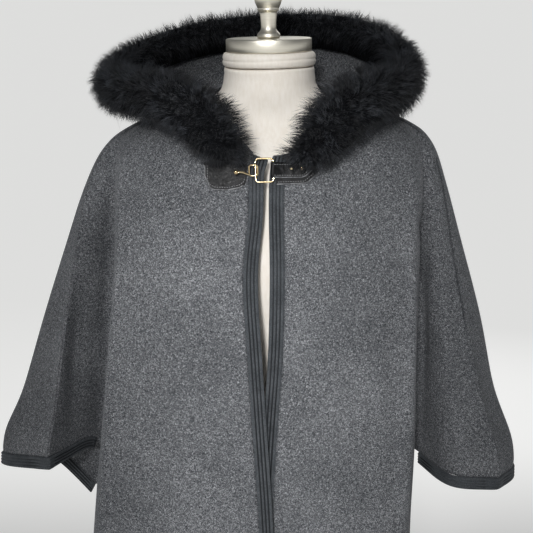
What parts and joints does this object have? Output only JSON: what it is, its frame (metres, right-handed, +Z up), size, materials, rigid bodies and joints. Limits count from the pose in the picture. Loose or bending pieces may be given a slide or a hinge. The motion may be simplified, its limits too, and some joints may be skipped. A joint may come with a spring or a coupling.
{
  "type": "hooded poncho on a dress form",
  "caption": "Open-front wool poncho with ribbed edge bands, a fur-trimmed hood worn down and a ring clasp, on a limbless dress form.",
  "frame": {"origin": "centre of the underside of the dress form's base, on the surface it stands on", "axes": "+Z up along the form's pole, -Y the way the wearer faces, +X the wearer's left"},
  "size_m": [0.7443, 0.3751, 1.5969],
  "materials": {
    "wool": "charcoal melange wool felt with pale flecks",
    "rib": "ribbed knit, dark charcoal",
    "fur": "near-black long-pile faux fur",
    "jersey": "cream cotton jersey",
    "nickel": "brushed nickel, warm",
    "leather": "black leather, semi-gloss",
    "gold": "polished pale gold",
    "stand": "satin black paint"
  },
  "bodies": {
    "root": {"poncho_front_left": "wool", "poncho_front_right": "wool", "poncho_back": "wool", "hood": "wool", "band_front_left": "rib", "band_front_right": "rib", "band_sleeve_left": "rib", "band_sleeve_right": "rib", "band_hem_front_left": "rib", "band_hem_front_right": "rib", "band_hem_back": "rib", "fur_trim": "fur", "tab_left": "leather", "tab_right": "leather", "strap_left": "leather", "clasp_ring": "gold", "clasp_hook": "gold", "rivet_1": "gold", "rivet_2": "gold", "form_body": "jersey", "form_neck_band": "jersey", "form_cap": "nickel", "form_finial": "nickel", "form_pole": "stand", "form_base": "stand"}
  },
  "joints": []
}
